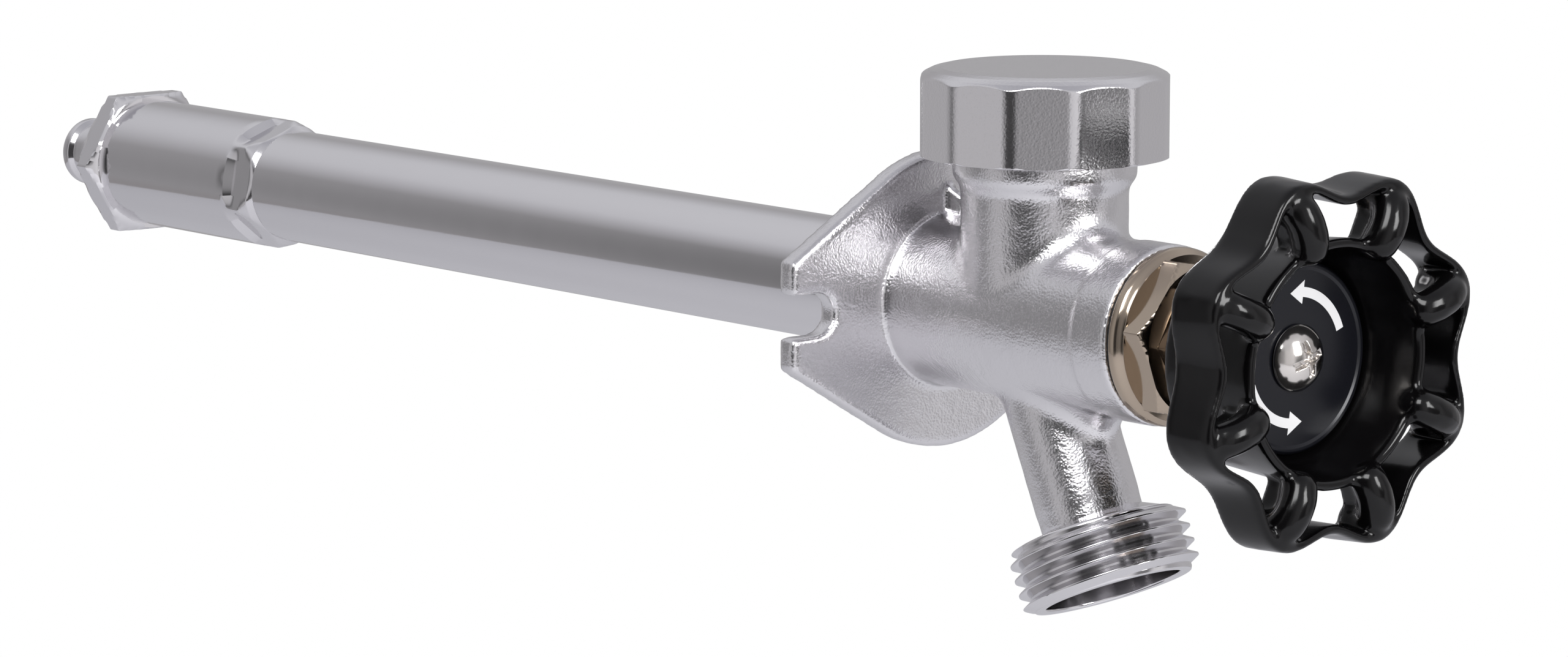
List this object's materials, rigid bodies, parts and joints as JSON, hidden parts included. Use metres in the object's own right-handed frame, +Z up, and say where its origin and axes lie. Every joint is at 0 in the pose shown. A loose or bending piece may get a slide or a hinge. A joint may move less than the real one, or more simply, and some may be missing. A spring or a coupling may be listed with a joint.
{
  "type": "hose bib",
  "caption": "Frost-proof wall hose bib: long supply tube with a barbed inlet, wall flange, vacuum breaker, angled hose spout and a lobed wheel handle.",
  "frame": {"origin": "centre of the wall flange's back face, on the supply tube's axis", "axes": "+Y along the supply tube into the wall, -Y out to the handle, +Z up through the vacuum breaker, +X to the right seen from the handle"},
  "size_m": [0.0614, 0.3159, 0.081],
  "materials": {
    "cast_chrome": "bright chrome over a fine sand-cast surface",
    "polished_chrome": "polished chrome plate",
    "nickel_bronze": "warm nickel plate over brass",
    "brass": "turned brass",
    "stainless": "stamped stainless steel",
    "spring_steel": "spring steel",
    "black_enamel": "gloss black baked enamel",
    "label_black": "satin black anodised disc",
    "black_rubber": "moulded rubber",
    "packing": "graphite packing",
    "white_plastic": "moulded acetal"
  },
  "bodies": {
    "body": {"valve_body": "cast_chrome", "barrel_tube": "polished_chrome", "inlet_fitting": "polished_chrome", "bonnet": "nickel_bronze", "bonnet_gasket": "black_rubber", "packing_washer": "brass", "packing_ring": "packing", "packing_nut": "nickel_bronze", "vacuum_breaker_cap": "cast_chrome", "cap_gasket": "black_rubber", "vent_seat_ring": "black_rubber", "vent_seat": "brass", "vent_cage": "white_plastic"},
    "washer_carrier": {"washer_holder": "brass", "seat_washer": "black_rubber", "seat_washer_screw": "brass"},
    "turning_stem": {"stem_rod": "brass", "operating_screw": "brass", "stem_guide": "white_plastic", "swivel_ring": "spring_steel", "handle_wheel": "black_enamel", "handle_label_disc": "label_black", "handle_screw": "stainless"},
    "float": {"vent_float": "white_plastic", "float_seal": "black_rubber"}
  },
  "joints": [
    {"name": "stem_travel", "type": "slide", "parent": "body", "child": "washer_carrier", "axis": [0, -1, 0], "range_m": [0, 0.008]},
    {"name": "handle_turn", "type": "hinge", "parent": "washer_carrier", "child": "turning_stem", "pos_m": [0, 0, 0], "axis": [0, -1, 0], "range_deg": [0, 900]},
    {"name": "float_lift", "type": "slide", "parent": "body", "child": "float", "axis": [0, 0, 1], "range_m": [0, 0.0025]}
  ],
  "couplings": [
    {"joint": "handle_turn", "follows": "stem_travel", "rad_per_m": 1963.5}
  ]
}
